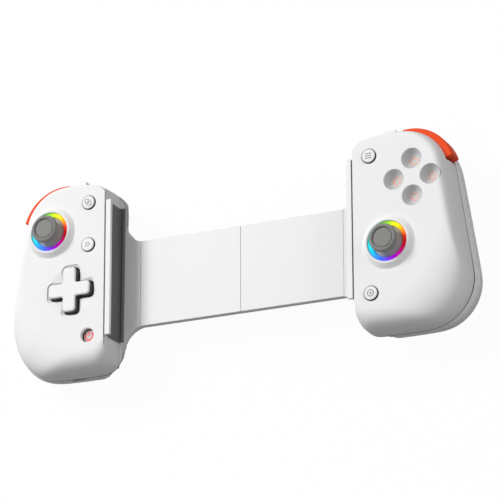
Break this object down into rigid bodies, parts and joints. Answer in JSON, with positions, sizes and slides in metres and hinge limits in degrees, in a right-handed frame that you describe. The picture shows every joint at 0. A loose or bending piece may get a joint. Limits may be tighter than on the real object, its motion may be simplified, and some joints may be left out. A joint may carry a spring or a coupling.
{
  "type": "mobile game controller",
  "caption": "Stretch-type game controller: two handgrips with sticks, buttons and triggers on a sliding bridge that pulls apart to hold a phone between them.",
  "frame": {"origin": "middle of the overall box in plan, on the plane that its rear faces rest on", "axes": "+X along the bridge towards the right grip, +Y towards the triggers, +Z out of the face that carries the buttons"},
  "size_m": [0.2564, 0.104, 0.0457],
  "materials": {
    "white_abs": "matte",
    "dark_silicone": "matte",
    "grey_rubber": "matte",
    "orange_abs": "satin",
    "steel": "satin",
    "board": "satin",
    "black_plastic": "matte",
    "light_guide": "glossy",
    "dark_plastic": "matte"
  },
  "bodies": {
    "left_grip": {"left_front_cover": "white_abs", "left_rear_cover": "white_abs", "left_bridge_front": "white_abs", "left_bridge_back": "white_abs", "left_rack": "dark_plastic", "return_springs": "steel", "flex_cable": "black_plastic", "left_cradle_lip": "white_abs", "left_cradle_pad": "dark_silicone", "left_light_ring": "light_guide", "left_stick_housing": "black_plastic", "left_board": "board", "left_switches": "black_plastic", "dpad_seat": "black_plastic", "battery": "steel", "charge_port": "steel", "left_screws": "steel", "left_shoulder_pins": "steel"},
    "right_grip": {"right_front_cover": "white_abs", "right_rear_cover": "white_abs", "right_bridge_front": "white_abs", "right_bridge_back": "white_abs", "right_rack": "dark_plastic", "right_cradle_lip": "white_abs", "right_cradle_pad": "dark_silicone", "right_light_ring": "light_guide", "right_stick_housing": "black_plastic", "right_board": "board", "right_switches": "black_plastic", "right_screws": "steel", "right_shoulder_pins": "steel"},
    "carriage": {"carriage_tray": "dark_plastic", "carriage_lid": "dark_plastic"},
    "pinion": {"sync_pinion": "white_abs"},
    "dpad_joint": {"dpad_rocker": "steel"},
    "dpad": {"dpad_cross": "white_abs"},
    "left_stick_outer": {"left_stick_outer_yoke": "steel"},
    "left_stick_inner": {"left_stick_inner_yoke": "dark_plastic"},
    "left_stick": {"left_stick_shaft": "steel", "left_stick_cap": "grey_rubber"},
    "left_top_key": {"left_top_key": "white_abs"},
    "left_bumper": {"left_bumper": "orange_abs"},
    "left_trigger": {"left_trigger": "orange_abs"},
    "right_stick_outer": {"right_stick_outer_yoke": "steel"},
    "right_stick_inner": {"right_stick_inner_yoke": "dark_plastic"},
    "right_stick": {"right_stick_shaft": "steel", "right_stick_cap": "grey_rubber"},
    "right_top_key": {"right_top_key": "white_abs"},
    "right_bumper": {"right_bumper": "orange_abs"},
    "right_trigger": {"right_trigger": "orange_abs"},
    "share": {"share_button": "white_abs"},
    "turbo": {"turbo_button": "white_abs"},
    "home": {"home_button": "white_abs"},
    "menu": {"menu_button": "white_abs"},
    "power": {"power_button": "white_abs"},
    "north": {"north_button": "white_abs"},
    "east": {"east_button": "white_abs"},
    "south": {"south_button": "white_abs"},
    "west": {"west_button": "white_abs"}
  },
  "joints": [
    {"name": "bridge_slide", "type": "slide", "parent": "left_grip", "child": "right_grip", "axis": [1, 0, 0], "range_m": [0, 0.06], "stiffness_N_per_m": 60, "springref_m": -0.05, "deforming": ["return_springs", "flex_cable"]},
    {"name": "carriage_slide", "type": "slide", "parent": "left_grip", "child": "carriage", "axis": [1, 0, 0], "range_m": [0, 0.03]},
    {"name": "pinion_spin", "type": "hinge", "parent": "carriage", "child": "pinion", "pos_m": [0, -0.005, 0.0164], "axis": [0, 0, 1], "range_deg": [0, 246]},
    {"name": "left_stick_tilt_x", "type": "hinge", "parent": "left_grip", "child": "left_stick_outer", "pos_m": [-0.1004, 0.0236, 0.028], "axis": [1, 0, 0], "range_deg": [-14, 14], "stiffness_Nm_per_rad": 0.02},
    {"name": "left_stick_tilt_y", "type": "hinge", "parent": "left_stick_outer", "child": "left_stick_inner", "pos_m": [-0.1004, 0.0236, 0.028], "axis": [0, 1, 0], "range_deg": [-14, 14], "stiffness_Nm_per_rad": 0.02},
    {"name": "left_stick_press", "type": "slide", "parent": "left_stick_inner", "child": "left_stick", "axis": [0, 0, -1], "range_m": [0, 0.0005], "stiffness_N_per_m": 2000, "springref_m": -0.0005},
    {"name": "right_stick_tilt_x", "type": "hinge", "parent": "right_grip", "child": "right_stick_outer", "pos_m": [0.0883, -0.0095, 0.028], "axis": [1, 0, 0], "range_deg": [-14, 14], "stiffness_Nm_per_rad": 0.02},
    {"name": "right_stick_tilt_y", "type": "hinge", "parent": "right_stick_outer", "child": "right_stick_inner", "pos_m": [0.0883, -0.0095, 0.028], "axis": [0, 1, 0], "range_deg": [-14, 14], "stiffness_Nm_per_rad": 0.02},
    {"name": "right_stick_press", "type": "slide", "parent": "right_stick_inner", "child": "right_stick", "axis": [0, 0, -1], "range_m": [0, 0.0005], "stiffness_N_per_m": 2000, "springref_m": -0.0005},
    {"name": "dpad_tilt_x", "type": "hinge", "parent": "left_grip", "child": "dpad_joint", "pos_m": [-0.0883, -0.0095, 0.029], "axis": [1, 0, 0], "range_deg": [-4, 4], "stiffness_Nm_per_rad": 0.1},
    {"name": "dpad_tilt_y", "type": "hinge", "parent": "dpad_joint", "child": "dpad", "pos_m": [-0.0883, -0.0095, 0.029], "axis": [0, 1, 0], "range_deg": [-4, 4], "stiffness_Nm_per_rad": 0.1},
    {"name": "share_press", "type": "slide", "parent": "left_grip", "child": "share", "axis": [0, 0, -1], "range_m": [0, 0.0007], "stiffness_N_per_m": 1000, "springref_m": -0.0005},
    {"name": "turbo_press", "type": "slide", "parent": "left_grip", "child": "turbo", "axis": [0, 0, -1], "range_m": [0, 0.0007], "stiffness_N_per_m": 1000, "springref_m": -0.0005},
    {"name": "home_press", "type": "slide", "parent": "left_grip", "child": "home", "axis": [0, 0, -1], "range_m": [0, 0.0007], "stiffness_N_per_m": 1000, "springref_m": -0.0005},
    {"name": "menu_press", "type": "slide", "parent": "right_grip", "child": "menu", "axis": [0, 0, -1], "range_m": [0, 0.0007], "stiffness_N_per_m": 1000, "springref_m": -0.0005},
    {"name": "power_press", "type": "slide", "parent": "right_grip", "child": "power", "axis": [0, 0, -1], "range_m": [0, 0.0007], "stiffness_N_per_m": 1000, "springref_m": -0.0005},
    {"name": "north_press", "type": "slide", "parent": "right_grip", "child": "north", "axis": [0, 0, -1], "range_m": [0, 0.0012], "stiffness_N_per_m": 600, "springref_m": -0.0005},
    {"name": "east_press", "type": "slide", "parent": "right_grip", "child": "east", "axis": [0, 0, -1], "range_m": [0, 0.0012], "stiffness_N_per_m": 600, "springref_m": -0.0005},
    {"name": "south_press", "type": "slide", "parent": "right_grip", "child": "south", "axis": [0, 0, -1], "range_m": [0, 0.0012], "stiffness_N_per_m": 600, "springref_m": -0.0005},
    {"name": "west_press", "type": "slide", "parent": "right_grip", "child": "west", "axis": [0, 0, -1], "range_m": [0, 0.0012], "stiffness_N_per_m": 600, "springref_m": -0.0005},
    {"name": "left_top_key_press", "type": "slide", "parent": "left_grip", "child": "left_top_key", "axis": [0, -1, 0], "range_m": [0, 0.0006], "stiffness_N_per_m": 1000, "springref_m": -0.0005},
    {"name": "left_bumper_turn", "type": "hinge", "parent": "left_grip", "child": "left_bumper", "pos_m": [-0.09516, 0.04682, 0.025], "axis": [0, 0, 1], "range_deg": [0, 2.2], "stiffness_Nm_per_rad": 0.5, "springref_deg": -2.86},
    {"name": "left_trigger_pull", "type": "hinge", "parent": "left_grip", "child": "left_trigger", "pos_m": [-0.101, 0.036, 0.013], "axis": [-1, 0, 0], "range_deg": [0, 14], "stiffness_Nm_per_rad": 0.15, "springref_deg": -5.73},
    {"name": "right_top_key_press", "type": "slide", "parent": "right_grip", "child": "right_top_key", "axis": [0, -1, 0], "range_m": [0, 0.0006], "stiffness_N_per_m": 1000, "springref_m": -0.0005},
    {"name": "right_bumper_turn", "type": "hinge", "parent": "right_grip", "child": "right_bumper", "pos_m": [0.09516, 0.04682, 0.025], "axis": [0, 0, -1], "range_deg": [0, 2.2], "stiffness_Nm_per_rad": 0.5, "springref_deg": -2.86},
    {"name": "right_trigger_pull", "type": "hinge", "parent": "right_grip", "child": "right_trigger", "pos_m": [0.101, 0.036, 0.013], "axis": [-1, 0, 0], "range_deg": [0, 14], "stiffness_Nm_per_rad": 0.15, "springref_deg": -5.73}
  ],
  "couplings": [
    {"joint": "carriage_slide", "follows": "bridge_slide", "ratio": 0.5},
    {"joint": "pinion_spin", "follows": "bridge_slide", "rad_per_m": 71.429}
  ]
}
